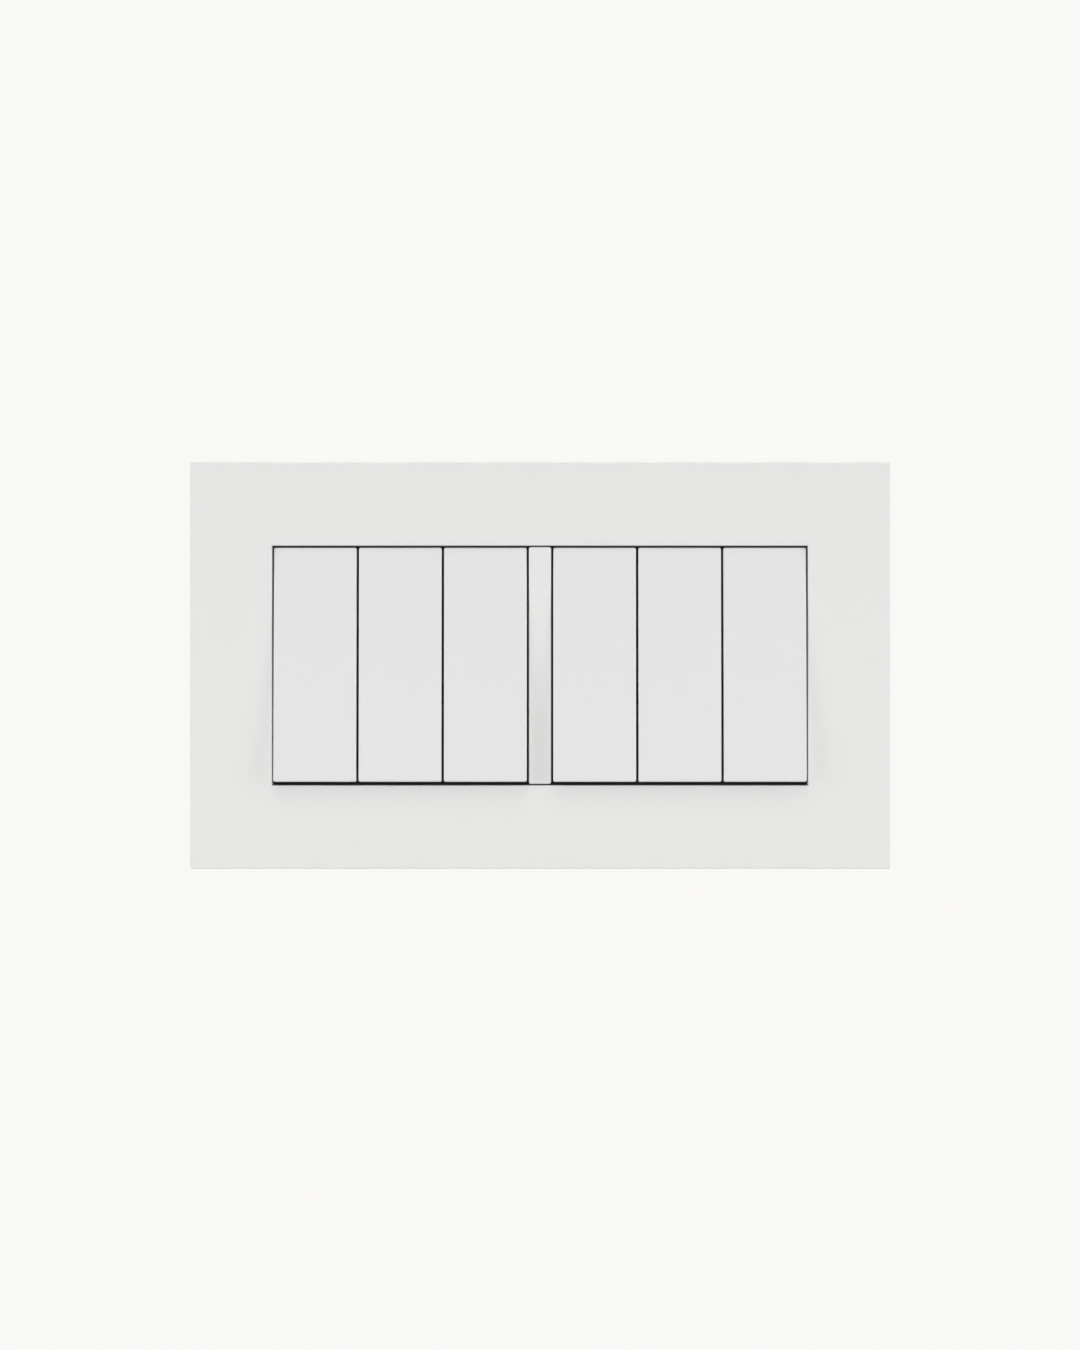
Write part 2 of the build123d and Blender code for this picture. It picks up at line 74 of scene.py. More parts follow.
# Corners nearer than the first distance merge, and faces thinner than the second go, in metres
MERGE_M, THIN_M = 1e-7, 1e-8
# How far the large flat faces outweigh the narrow rounded ones in the normals, out of 100
FLAT_FACE_WEIGHT = 100

# Rockers at rest: their tilt about X, and the end of the bore that the spring presses against
KEY_TILT, BORE_END = -2.75, -6.1
# Springs: radius of the wire's centre-line, start and length at rest
SPRING_RADIUS, SPRING_START, SPRING_LENGTH = 1.325, -5.835, 6.37
# The turns that lie closed at each end, and the turns over which the coil then opens
SPRING_CLOSED, SPRING_OPENING = 0.75, 0.5
SPRING_TURN_POINTS, WIRE_POINTS = 40, 12

# One gang's terminals: mark, step to the side, and whether above (1) or below (-1) the middle
TERMINALS = (("L1", 0, 1), ("L2", -4, -1), ("COM", 4, -1))
CLAMP_ROW, MARK_ROW = 16.7, 20.6
MARK_RISE, LETTER_SMOOTHNESS = 0.2, 3

# Thread profile: shares of the pitch, and the height there from core (0) to crest (1)
THREAD_SHARES, THREAD_HEIGHTS = (0.0, 0.25, 0.55, 0.7), (0.0, 0.0, 1.0, 1.0)
# M3.5 thread of the box and clamp screws: crest radius, and depth as a share of the pitch
M35_CREST, M35_DEPTH = 1.75, 0.61
# Screwdriver slots: half the width, and the depth
SLOT_HALF_WIDTH, SLOT_DEPTH = 0.35, 0.7
CLAMP_SLOT_HALF_WIDTH, CLAMP_SLOT_DEPTH = 0.3, 0.9
# The slot's cutter: half its length, the radius of its corners, and how far it stands out
CUTTER_HALF_LENGTH, CUTTER_CORNER, CUTTER_PAST = 5.0, 0.01, 1

# The mounting plate's front, against which the heads of the box and base screws sit
PLATE_FRONT = -2.6
# Box screws: radius, height and rounding of the head, radius and end of the neck, the tip, and
# the turn of the left and the right slot
BOX_HEAD, BOX_HEAD_HEIGHT, BOX_HEAD_ROUND, BOX_HEAD_STEPS = 3.3, 2.1, 1.05, 7
BOX_NECK, BOX_NECK_END, BOX_END = 1.55, 0.25, 22.4
BOX_POINTS, BOX_TURNS = 56, (12, -31)
# Clamp screws: the two ends, (radius, way from the front end) round the point, how far before the
# back end the collar starts, (radius, way from the back end) round it, and where the thread runs
CLAMP_FRONT, CLAMP_BACK = 17.94, 23.2
CLAMP_POINT = ((0.9, 0.0), (1.2, 0.25), (1.2, 0.9))
CLAMP_COLLAR_START, CLAMP_COLLAR = 1.6, ((1.6, 1.45), (1.6, 0.15), (1.45, 0.0))
THREAD_FROM_FRONT, THREAD_FROM_BACK = 0.3, 1.3
CLAMP_POINTS = 28
# Base screws: the head's radius and edge, the depth of its cone, the tip, the thread's core, crest
# and pitch, and where the core starts and ends behind the cone
BASE_HEAD, BASE_HEAD_EDGE, BASE_CONE, BASE_END = 2.3, 0.08, 1.05, 5.4
BASE_CORE, BASE_CREST, BASE_PITCH = 0.9, 1.25, 1.1
BASE_CORE_START, BASE_CORE_END = 0.2, 1
BASE_POINTS, BASE_THREAD_POINTS = 36, 24
# Where they stand: the middle of a base, the columns beside it, and the rows above and below
BASE_MIDDLE, BASE_COLUMN, BASE_ROW = 29.55, 9, 6
# Screws stop at any angle: slots turn on by these from gang to gang, from clamp to clamp, from
# column to column and from row to row, and a slot looks the same after half a turn
GANG_TURN, CLAMP_TURN, COLUMN_TURN, ROW_TURN, HALF_TURN = 37, 53, 29, 61, 180

# How rough the finer detail of each noise layer is
NOISE_ROUGHNESS = 0.55

# The photograph: its height, the plate's width in it, and the plate above the picture's middle
IMAGE_HEIGHT_PX, PLATE_WIDTH_PX, PLATE_ABOVE_MIDDLE_PX = 1350, 700, 9.5
LENS_MM, SENSOR_MM = 100.0, 36.0
NEAREST_M, FARTHEST_M = 0.05, 60.0
# The plain backdrop's colour, and the strength of the soft white light from all round
BACKDROP, STUDIO_STRENGTH = "#F9F8F6", 0.312
# A wall switch sits about this far above the floor
SWITCH_HEIGHT_MM, FLOOR_SIZE_MM = 1100.0, 3000.0
# Lamps: bearing from the front, elevation, then distance, width and height in metres, watts, and
# whether gloss mirrors them. A large one above. One low in front, whose upper edge is mirrored as
# a soft step. Two at the sides, which the proud lower ends of the keys shade. Four strips nearly
# level with the wall, which catch the rounded edges and would glare in flat faces seen from the
# side or from above if gloss mirrored them. One behind, for the clamps.
LAMPS = {
    "top_softbox": (0, 64, 1.1, 1.0, 0.5, 2.8, True),
    "front_fill": (0, -8, 1.3, 1.0, 0.56, 2.7, True),
    "left_softbox": (-62, 3, 1.1, 0.55, 1.0, 1.0, True),
    "right_softbox": (62, 3, 1.1, 0.55, 1.0, 1.0, True),
    "upper_strip": (0, 76, 1.1, 1.2, 0.4, 1.2, False),
    "lower_strip": (0, -76, 1.1, 1.2, 0.4, 1.2, False),
    "left_strip": (-73, 3, 1.1, 0.3, 1.0, 3.5, False),
    "right_strip": (73, 3, 1.1, 0.3, 1.0, 3.5, False),
    "rear_softbox": (180, 35, 1.2, 1.0, 0.6, 2.0, True),
}

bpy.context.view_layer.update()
record = frame["record"]
joints = {joint["name"]: joint for joint in frame["joints"]}
bodies_of = {node: body for body, nodes in record["behaviour"]["bodies"].items() for node in nodes}
slots_of = {part["node"]: part["material_slot"] for part in record["subparts"]}


def linear(hex_colour):
    """An sRGB hex colour as linear red, green, blue and alpha."""
    parts = [int(hex_colour[i:i + 2], 16) / 255 for i in (1, 3, 5)]
    return [c / 12.92 if c <= 0.04045 else ((c + 0.055) / 1.055) ** 2.4 for c in parts] + [1.0]


def box_mm(node):
    """The lowest and highest corner of a CAD node in millimetres."""
    low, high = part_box(node)
    return np.array(low) / MM, np.array(high) / MM


def pivot_mm(number):
    """The middle of a gang's rocker pivot in millimetres."""
    return np.array(joints[f"rocker_{number}_tilt"]["pos_m"]) / MM


# Shape helpers: surfaces are grids of points worked out with numpy, and rows close on themselves
def rounded_ring(half_x, half_z, radius, per_corner):
    """A rectangle with quarter-circle corners. Each corner's points are its centre plus radius
    times (cos, sin)."""
    turn = np.linspace(0, math.pi / 2, per_corner)
    corners = []
    for number, (sx, sz) in enumerate(((1, 1), (-1, 1), (-1, -1), (1, -1))):
        angle = turn + number * math.pi / 2
        x = sx * (half_x - radius) + radius * np.cos(angle)
        z = sz * (half_z - radius) + radius * np.sin(angle)
        corners.append(np.stack([x, z], axis=1))
    return np.concatenate(corners)


def circle_ring(radius, count):
    """A circle of evenly spaced points."""
    angle = np.linspace(0, 2 * math.pi, count, endpoint=False)
    return np.stack([radius * np.cos(angle), radius * np.sin(angle)], axis=1)


def at_depth(ring, depth):
    """Lifts a ring of (x, z) points to (x, depth, z)."""
    return np.stack([ring[:, 0], np.full(len(ring), depth), ring[:, 1]], axis=1)


def quarter(depth, radius, steps):
    """(inset, depth) pairs round a convex front edge: inset falls as r(1 - sin a) while depth
    grows by r(1 - cos a)."""
    angle = np.linspace(0, math.pi / 2, steps)
    return [(radius * (1 - math.sin(a)), depth + radius * (1 - math.cos(a))) for a in angle]


def grid_faces(rows, columns, round_columns=True):
    """Quads between neighbouring rows of a grid, whose columns close on themselves unless told."""
    row = np.arange(rows - 1)[:, None]
    column = np.arange(columns if round_columns else columns - 1)[None, :]
    here, after = row * columns, (row + 1) * columns
    beside = (column + 1) % columns
    quads = [here + column, here + beside, after + beside, after + column]
    return np.stack(np.broadcast_arrays(*quads), axis=-1).reshape(-1, 4)


def closed_grid(rings):
    """A surface through a stack of rings, whose ends are drawn in to their middle and so closed."""
    grid = np.stack(rings)
    ends = [np.broadcast_to(ring.mean(axis=0), ring.shape) for ring in (grid[0], grid[-1])]
    grid = np.concatenate([ends[0][None], grid, ends[1][None]])
    return grid.reshape(-1, 3), grid_faces(len(grid), grid.shape[1])


def turned_piece(profile, count):
    """A surface of revolution about the Y axis through (radius, y) pairs, closed at both ends."""
    return closed_grid([at_depth(circle_ring(radius, count), y) for radius, y in profile])


def threaded_rod(core, crest, pitch, start, end, count):
    """A screw thread about Y. A point at angle a of turn k, at share s of the pitch, has
    y = start + pitch (k + s + a / 2 pi) and stays between the ends. Its radius follows the thread
    profile from core to crest with straight flanks, and fades to the core over the last turn at
    each end."""
    turns = np.arange(-1, math.ceil((end - start) / pitch) + 1)
    angle = np.linspace(0, 2 * math.pi, count + 1)[None, :]
    along = (turns[:, None] + THREAD_SHARES).reshape(-1, 1) + angle / (2 * math.pi)
    y = np.clip(start + pitch * along, start, end)
    fade = np.clip(np.minimum(y - start, end - y) / pitch, 0, 1)
    radius = core + (crest - core) * np.tile(THREAD_HEIGHTS, len(turns))[:, None] * fade
    grid = np.stack([radius * np.cos(angle), y, radius * np.sin(angle)], axis=-1)
    ends = [np.broadcast_to([0.0, y_end, 0.0], grid[0].shape) for y_end in (start, end)]
    grid = np.concatenate([ends[0][None], grid, ends[1][None]])
    return grid.reshape(-1, 3), grid_faces(grid.shape[0], grid.shape[1], round_columns=False)


def coil_spring(radius, wire, start, length, active):
    """Round wire on a helix about Y with one closed turn at each end. At turn t the centre-line
    stands at y = start + wire t + (length - wire turns) q, where q sums a smooth step that is 0
    on the closed turns and 1 on the open ones, scaled to end at 1. The wire's section is a circle
    square to the centre-line."""
    turns = active + 2
    t = np.linspace(0, turns, SPRING_TURN_POINTS * turns + 1)
    inside = np.clip((np.minimum(t, turns - t) - SPRING_CLOSED) / SPRING_OPENING, 0, 1)
    step = inside ** 2 * (3 - 2 * inside)
    summed = np.concatenate([[0.0], np.cumsum((step[1:] + step[:-1]) / 2)])
    y = start + wire * t + (length - wire * turns) * summed / summed[-1]
    angle = 2 * math.pi * t
    middle = np.stack([radius * np.cos(angle), y, radius * np.sin(angle)], axis=1)
    outwards = np.stack([np.cos(angle), np.zeros_like(t), np.sin(angle)], axis=1)
    along = np.gradient(middle, axis=0)
    across = np.cross(along / np.linalg.norm(along, axis=1, keepdims=True), outwards)
    turn = np.linspace(0, 2 * math.pi, WIRE_POINTS, endpoint=False)[None, :, None]
    section = np.cos(turn) * outwards[:, None, :] + np.sin(turn) * across[:, None, :]
    return closed_grid(middle[:, None, :] + wire / 2 * section)


def turned_x(points, middle, degrees):
    """Turns points about a line along X through middle: y and z mix by the cosine and sine."""
    angle = math.radians(degrees)
    offset = points - middle
    y = offset[:, 1] * math.cos(angle) - offset[:, 2] * math.sin(angle)
    z = offset[:, 1] * math.sin(angle) + offset[:, 2] * math.cos(angle)
    return np.stack([offset[:, 0], y, z], axis=1) + middle


# Mesh and object helpers
def finish_mesh(mesh, sharp_degrees, outwards=False):
    """Merges doubles, drops faces without area, and shades smoothly up to an angle. Normals that
    came with the loose triangles no longer fit the merged corners, so they go first."""
    if "custom_normal" in mesh.attributes:
        mesh.attributes.remove(mesh.attributes["custom_normal"])
    shape = bmesh.new()
    shape.from_mesh(mesh)
    bmesh.ops.remove_doubles(shape, verts=shape.verts, dist=MERGE_M)
    bmesh.ops.dissolve_degenerate(shape, edges=shape.edges, dist=THIN_M)
    if outwards:
        bmesh.ops.recalc_face_normals(shape, faces=shape.faces)
    shape.to_mesh(mesh)
    shape.free()
    mesh.shade_smooth()
    mesh.set_sharp_from_angle(angle=math.radians(sharp_degrees))


def new_mesh(name, points, faces):
    """A mesh in metres from millimetre points, with its doubles merged and its normals outwards."""
    mesh = bpy.data.meshes.new(name)
    mesh.from_pydata((points * MM).tolist(), [], faces.tolist())
    finish_mesh(mesh, TURNED_SHARP, outwards=True)
    return mesh


def m35_thread(name, start, end):
    """An M3.5 thread between two depths, with its pitch and core radius in millimetres."""
    sizes = bpy.context.scene.switch_sizes
    pitch = sizes.thread_pitch / MM
    core = M35_CREST - M35_DEPTH * pitch
    rod = threaded_rod(core, M35_CREST, pitch, start, end, sizes.thread_turn_points)
    return new_mesh(name, *rod), pitch, core


def new_object(name, data):
    """An object in the scene's own collection."""
    thing = bpy.data.objects.new(name, data)
    bpy.context.scene.collection.objects.link(thing)
    return thing


def place(mesh, name, nodes, material):
    """Puts a mesh in the scene in place of its CAD nodes, on their body and with the given material."""
    piece = new_object(name, mesh)
    mesh.materials.clear()
    mesh.materials.append(material)
    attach(piece, bodies_of[nodes[0]])
    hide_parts(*nodes)
    return piece


def smooth_copy(node, name):
    """A CAD node's own form with merged corners, so that its rounded edges shade smoothly. Large
    flat faces keep their own normal, and only the narrow rounded ones between them blend."""
    mesh = frame["nodes"][node].data.copy()
    finish_mesh(mesh, MOULDED_SHARP)
    piece = place(mesh, name, [node], finish(slots_of[node]))
    modifier = piece.modifiers.new("Even normals", "WEIGHTED_NORMAL")
    modifier.keep_sharp = True
    modifier.weight = FLAT_FACE_WEIGHT


def finish_node(node):
    """Gives a carried-over CAD node the material of its slot."""
    materials = frame["nodes"][node].data.materials
    materials.clear()
    materials.append(finish(slots_of[node]))


def slotted(name, surface, half_width, front, back):
    """A turned surface less a screwdriver slot along X between two depths, cut by an exact
    boolean."""
    ring = rounded_ring(CUTTER_HALF_LENGTH, half_width, CUTTER_CORNER, per_corner=2)
    slot = closed_grid([at_depth(ring, front), at_depth(ring, back)])
    body, tool = [new_object(name, new_mesh(name, *part)) for part in (surface, slot)]
    modifier = body.modifiers.new("Slot", "BOOLEAN")
    modifier.operation = "DIFFERENCE"
    modifier.solver = "EXACT"
    modifier.object = tool
    evaluated = body.evaluated_get(bpy.context.evaluated_depsgraph_get())
    mesh = bpy.data.meshes.new_from_object(evaluated)
    if not mesh.polygons:
        raise RuntimeError(f"the slot left nothing of {name}")
    bpy.data.objects.remove(body)
    bpy.data.objects.remove(tool)
    finish_mesh(mesh, TURNED_SHARP)
    return mesh


def whole_mesh(shape, name):
    """Ends a bmesh as a new mesh."""
    mesh = bpy.data.meshes.new(name)
    shape.to_mesh(mesh)
    shape.free()
    return mesh


def raised_words(words, size, rise, y, name):
    """Letters that stand rise proud of the rear plane y and are read from behind, where words
    holds (text, x, z). The matrix turns the text from lying flat to facing the rear."""
    shape = bmesh.new()
    for text, x, z in words:
        curve = bpy.data.curves.new(name, "FONT")
        curve.body, curve.size, curve.extrude = text, size * MM, rise * MM
        curve.align_x, curve.align_y = "CENTER", "CENTER"
        curve.resolution_u = LETTER_SMOOTHNESS
        thing = bpy.data.objects.new(name, curve)
        letters = bpy.data.meshes.new_from_object(thing)
        letters.transform(Matrix((
            (-1, 0, 0, x * MM), (0, 0, 1, y * MM), (0, 1, 0, z * MM), (0, 0, 0, 1))))
        shape.from_mesh(letters)
        bpy.data.objects.remove(thing)
    if not shape.faces:
        raise RuntimeError(f"the text of {name} left no faces")
    return whole_mesh(shape, name)


def repeated(parts, places, name):
    """One mesh with a copy of the given ones at each (x, z, turn), turned about its own Y axis."""
    shape = bmesh.new()
    for x, z, turn in places:
        move = Matrix.Translation((x * MM, 0, z * MM))
        for mesh in parts:
            copy = mesh.copy()
            copy.transform(move @ Matrix.Rotation(math.radians(turn), 4, "Y"))
            shape.from_mesh(copy)
            bpy.data.meshes.remove(copy)
    return whole_mesh(shape, name)


# Material helpers
def add_node(tree, kind, settings=None, links=None):
    """Adds a shader node, sets its sockets or properties by name, and links outputs into its
    inputs."""
    node = tree.nodes.new(kind)
    for key, value in (settings or {}).items():
        if isinstance(key, str) and hasattr(node, key):
            setattr(node, key, value)
        else:
            node.inputs[key].default_value = value
    for key, output in (links or {}).items():
        tree.links.new(output, node.inputs[key])
    return node


def layered_material(name, colour, shader, layers):
    """One Principled shader with its own colour and numbers, under layers of pattern on object
    coordinates. Each layer is a noise whose blobs measure size_mm, drawn out along an axis whose
    stretch is under 1, and the part of it between the two values of band is spread from 0 to 1.
    That spreads the roughness over rough, lets the colour drift to tone, or raises the surface by
    relief_mm on top of the relief before it."""
    material = bpy.data.materials.new(name)
    material.use_nodes = True
    material.diffuse_color = colour
    tree = material.node_tree
    tree.nodes.clear()
    surface = add_node(tree, "ShaderNodeBsdfPrincipled", {"Base Color": colour, **shader})
    add_node(tree, "ShaderNodeOutputMaterial", links={"Surface": surface.outputs["BSDF"]})
    place_in = add_node(tree, "ShaderNodeTexCoord").outputs["Object"]
    normal = {}
    for layer in layers:
        stretch = {"Scale": layer.get("stretch", (1, 1, 1))}
        drawn_out = add_node(tree, "ShaderNodeMapping", stretch, {"Vector": place_in})
        blobs = {"Scale": 1 / (layer["size_mm"] * MM), "Detail": layer.get("detail", 2.0),
                 "Roughness": NOISE_ROUGHNESS}
        noise = add_node(tree, "ShaderNodeTexNoise", blobs,
                         {"Vector": drawn_out.outputs["Vector"]})
        low, high = layer.get("band", (0.3, 0.7))
        least, most = layer.get("rough", (0.0, 1.0))
        limits = {"From Min": low, "From Max": high, "To Min": least, "To Max": most}
        spread = add_node(tree, "ShaderNodeMapRange", limits,
                          {"Value": noise.outputs["Fac"]}).outputs["Result"]
        if "rough" in layer:
            tree.links.new(spread, surface.inputs["Roughness"])
        if "tone" in layer:
            tones = {"data_type": "RGBA", 6: colour, 7: layer["tone"]}
            drift = add_node(tree, "ShaderNodeMix", tones, {0: spread})
            tree.links.new(drift.outputs[2], surface.inputs["Base Color"])
        if "relief_mm" in layer:
            relief = {"Strength": 1.0, "Distance": layer["relief_mm"] * MM}
            bump = add_node(tree, "ShaderNodeBump", relief, {"Height": spread, **normal})
            normal = {"Normal": bump.outputs["Normal"]}
            tree.links.new(bump.outputs["Normal"], surface.inputs["Normal"])
    return material


def shaded(colour, red, green, blue):
    """A colour with its linear red, green and blue multiplied."""
    return [colour[0] * red, colour[1] * green, colour[2] * blue, 1.0]


def moulded_gloss(name, colour, roughness, ior):
    """Urea or polycarbonate from a polished mould: an even gloss, soft orange peel 1.5 mm wide, a
    slow drift of tone over 30 mm and patches of handling 7 mm wide. The mould's polish is some
    0.02 mm wide, too fine to show, so it is drawn 0.16 mm wide."""
    return layered_material(name, colour, {"Roughness": roughness, "IOR": ior}, [
        {"size_mm": 30.0, "tone": shaded(colour, 0.985, 0.985, 0.985)},
        {"size_mm": 7.0, "detail": 4.0, "rough": (roughness * 0.88, roughness * 1.12)},
        {"size_mm": 1.5, "relief_mm": 0.00024},
        {"size_mm": 0.16, "relief_mm": 0.00005}])


def filled_nylon(name, colour, roughness):
    """Glass-filled nylon: matt, with a dry skin and pale fibre ends that lie along the flow. The
    fibres are 0.01 mm thick, too fine to show, so they are drawn 0.12 mm wide and 0.5 mm long."""
    pale = [c * 1.5 + 0.004 for c in colour[:3]] + [1.0]
    return layered_material(name, colour, {"Roughness": roughness, "IOR": 1.53}, [
        {"size_mm": 0.12, "detail": 1.0, "stretch": (0.25, 1.0, 1.0), "band": (0.58, 0.74),
         "tone": pale},
        {"size_mm": 3.0, "rough": (roughness * 0.9, roughness * 1.1)},
        {"size_mm": 0.35, "detail": 3.0, "relief_mm": 0.0016}])


def natural_nylon(name, colour):
    """Unfilled nylon: milky and slightly see-through, so light spreads about 0.6 mm under its
    waxy skin."""
    shader = {"Roughness": 0.42, "IOR": 1.53,
              "Subsurface Weight": 0.25, "Subsurface Scale": 0.6 * MM}
    return layered_material(name, colour, shader, [
        {"size_mm": 0.8, "rough": (0.36, 0.5)},
        {"size_mm": 0.3, "relief_mm": 0.0004}])


def rolled_brass(name, colour):
    """Half-hard brass strip: bright, with rolling lines along Z and a brown bloom in patches 4 mm
    wide. The lines are 0.02 mm apart, too fine to show, so they are drawn 0.08 mm apart."""
    return layered_material(name, colour, {"Metallic": 1.0, "Roughness": 0.3}, [
        {"size_mm": 4.0, "detail": 4.0, "tone": shaded(colour, 0.8, 0.7, 0.58)},
        {"size_mm": 0.08, "detail": 1.0, "stretch": (1.0, 1.0, 0.05), "rough": (0.24, 0.38),
         "relief_mm": 0.0003}])


def turned_metal(name, colour, roughness, bloom):
    """Turned screws and drawn wire, plated or bare: fine rings across Y and an uneven film 1.6 mm
    wide. The rings are 0.03 mm apart, too fine to show, so they are drawn 0.1 mm apart."""
    return layered_material(name, colour, {"Metallic": 1.0, "Roughness": roughness}, [
        {"size_mm": 1.6, "detail": 3.0, "tone": linear(bloom)},
        {"size_mm": 0.6, "detail": 3.0, "rough": (roughness * 0.75, roughness * 1.3)},
        {"size_mm": 0.1, "detail": 1.0, "stretch": (0.08, 1.0, 0.08), "relief_mm": 0.0003}])


def contact_silver(name, colour):
    """Silver alloy riveted cold: soft white metal with grey tarnish 0.9 mm wide and dimples
    0.4 mm wide."""
    return layered_material(name, colour, {"Metallic": 1.0}, [
        {"size_mm": 0.9, "detail": 3.0, "tone": shaded(colour, 0.82, 0.82, 0.82)},
        {"size_mm": 0.7, "rough": (0.24, 0.34)},
        {"size_mm": 0.4, "relief_mm": 0.0012}])


# Each material's maker, its colour in the sidebar and, where the maker takes them, its roughness
# and then its index of refraction or the colour of its film
FINISHES = {
    "white_urea": (moulded_gloss, "frame_white", 0.26, 1.56),
    "white_key": (moulded_gloss, "key_white", 0.22, 1.585),
    # The mounting plate's dark colour is partly painted shade for the gaps between the keys
    "charcoal_nylon": (filled_nylon, "carrier", 0.62),
    "charcoal_phenolic": (filled_nylon, "base", 0.5),
    "natural_nylon": (natural_nylon, "nylon"),
    "brass_strip": (rolled_brass, "brass"),
    "brass_screw": (turned_metal, "brass", 0.3, "#A8843F"),
    "silver_contact": (contact_silver, "silver"),
    "spring_steel": (turned_metal, "steel", 0.28, "#8C8C8A"),
    "zinc_steel": (turned_metal, "zinc", 0.3, "#A3A8B0"),
    # Dark passivated plating of the base screws, kept this dark also as painted shade, so that they show as dark
    # specks where the gaps between the keys lie in shade
    "black_zinc": (turned_metal, "black_zinc", 0.42, "#1B1C20"),
}


def finish(name):
    """A material made once from the colours in the sidebar. It has the name of its slot in the
    record, apart from black_zinc, whose screws are in the slot zinc_steel."""
    found = bpy.data.materials.get(name)
    if found:
        return found
    maker, colour, *numbers = FINISHES[name]
    return maker(name, list(getattr(bpy.context.scene.switch_colours, colour)), *numbers)


class SwitchColours(PropertyGroup):
    """The colours that a user would change."""

    frame_white: FloatVectorProperty(
        name="Frame white", description="Moulded urea of the cover frame and the slim strip",
        subtype="COLOR", size=4, min=0, max=1, default=linear("#E5E5E6"))
    key_white: FloatVectorProperty(
        name="Key white", description="Polycarbonate of the rocker keys",
        subtype="COLOR", size=4, min=0, max=1, default=linear("#EAEAEA"))
    # Dark nylon of the mounting plate, kept this dark also as painted shade deep in the gaps between the keys
    carrier: FloatVectorProperty(
        name="Carrier", description="Glass-filled nylon of the mounting plate behind the keys",
        subtype="COLOR", size=4, min=0, max=1, default=linear("#141516"))
    base: FloatVectorProperty(
        name="Base", description="Moulding of the two rear bases",
        subtype="COLOR", size=4, min=0, max=1, default=linear("#3B3D40"))
    nylon: FloatVectorProperty(
        name="Plunger nylon", description="Natural nylon of the plungers",
        subtype="COLOR", size=4, min=0, max=1, default=linear("#EAE6DA"))
    brass: FloatVectorProperty(
        name="Brass", description="Terminals, blades and clamp screws",
        subtype="COLOR", size=4, min=0, max=1, default=linear("#D9B56A"))
    silver: FloatVectorProperty(
        name="Silver", description="Contact rivets",
        subtype="COLOR", size=4, min=0, max=1, default=linear("#E2E0DC"))
    steel: FloatVectorProperty(
        name="Spring steel", description="Wire of the plunger springs",
        subtype="COLOR", size=4, min=0, max=1, default=linear("#A9A8A5"))
    zinc: FloatVectorProperty(
        name="Zinc plate", description="Box screws",
        subtype="COLOR", size=4, min=0, max=1, default=linear("#B7BABD"))
    # Dark plating of the base screws, which also stands in as painted shade in the gaps between the keys
    black_zinc: FloatVectorProperty(
        name="Black zinc plate", description="Base screws behind the keys",
        subtype="COLOR", size=4, min=0, max=1, default=linear("#2B2C30"))


class SwitchSizes(PropertyGroup):
    """The sizes that a user would change."""

    thread_pitch: FloatProperty(
        name="Thread pitch", description="Pitch of the M3.5 box and clamp screws",
        unit="LENGTH", precision=5, default=0.6 * MM, min=0.3 * MM, max=1.2 * MM)
    thread_turn_points: IntProperty(
        name="Thread smoothness", description="Points round one turn of a thread",
        default=28, min=12, max=64)
    mark_height: FloatProperty(
        name="Mark size", description="Height of the terminal marks",
        unit="LENGTH", precision=5, default=2.6 * MM, min=1.0 * MM, max=3.0 * MM)
    spring_active_turns: IntProperty(
        name="Open turns", description="Turns of the spring between its two closed ends",
        default=5, min=3, max=9)
    spring_wire: FloatProperty(
        name="Spring wire", description="Diameter of the spring wire",
        unit="LENGTH", precision=5, default=0.44 * MM, min=0.2 * MM, max=0.6 * MM)


class OBJECT_OT_switch_frame(Operator):
    """Dress the cover frame and the slim strip between the two groups"""

    bl_idname = "object.switch_frame"
    bl_label = "Cover frame and strip"

    def execute(self, context):
        for node in ("cover_frame", "centre_bar"):
            smooth_copy(node, node + "_moulding")
        return {"FINISHED"}


class OBJECT_OT_switch_keys(Operator):
    """Dress the six rocker keys"""

    bl_idname = "object.switch_keys"
    bl_label = "Rocker keys"

    def execute(self, context):
        for number in GANGS:
            smooth_copy(f"rocker_{number}", f"rocker_{number}_moulding")
        return {"FINISHED"}


class OBJECT_OT_switch_carrier(Operator):
    """Dress the mounting plate and the two rear bases"""

    bl_idname = "object.switch_carrier"
    bl_label = "Mounting plate and bases"

    def execute(self, context):
        for node in ("mounting_plate", "left_base", "right_base"):
            finish_node(node)
        return {"FINISHED"}


class OBJECT_OT_switch_mechanism(Operator):
    """Dress plungers, blades, contacts and terminals"""

    bl_idname = "object.switch_mechanism"
    bl_label = "Mechanisms and terminals"

    def execute(self, context):
        for number in GANGS:
            for kind in ("plunger", "moving_contacts"):
                smooth_copy(f"{kind}_{number}", f"{kind}_{number}_finished")
            for kind in ("contact_blade", "l1_terminal", "l2_terminal", "common_terminal"):
                finish_node(f"{kind}_{number}")
        smooth_copy("fixed_contacts", "fixed_contacts_finished")
        return {"FINISHED"}


class OBJECT_OT_switch_springs(Operator):
    """Wind the six plunger springs from round wire, with closed ends"""

    bl_idname = "object.switch_springs"
    bl_label = "Plunger springs"

    def execute(self, context):
        sizes = context.scene.switch_sizes
        for number in GANGS:
            pivot = pivot_mm(number)
            points, faces = coil_spring(SPRING_RADIUS, sizes.spring_wire / MM, SPRING_START,
                                        SPRING_LENGTH, sizes.spring_active_turns)
            points = turned_x(points + [pivot[0], 0, 0], pivot, KEY_TILT)
            name = f"spring_{number}_wire"
            mesh = new_mesh(name, points, faces)
            piece = place(mesh, name, [f"spring_{number}"], finish("spring_steel"))
            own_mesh(piece)
        return {"FINISHED"}


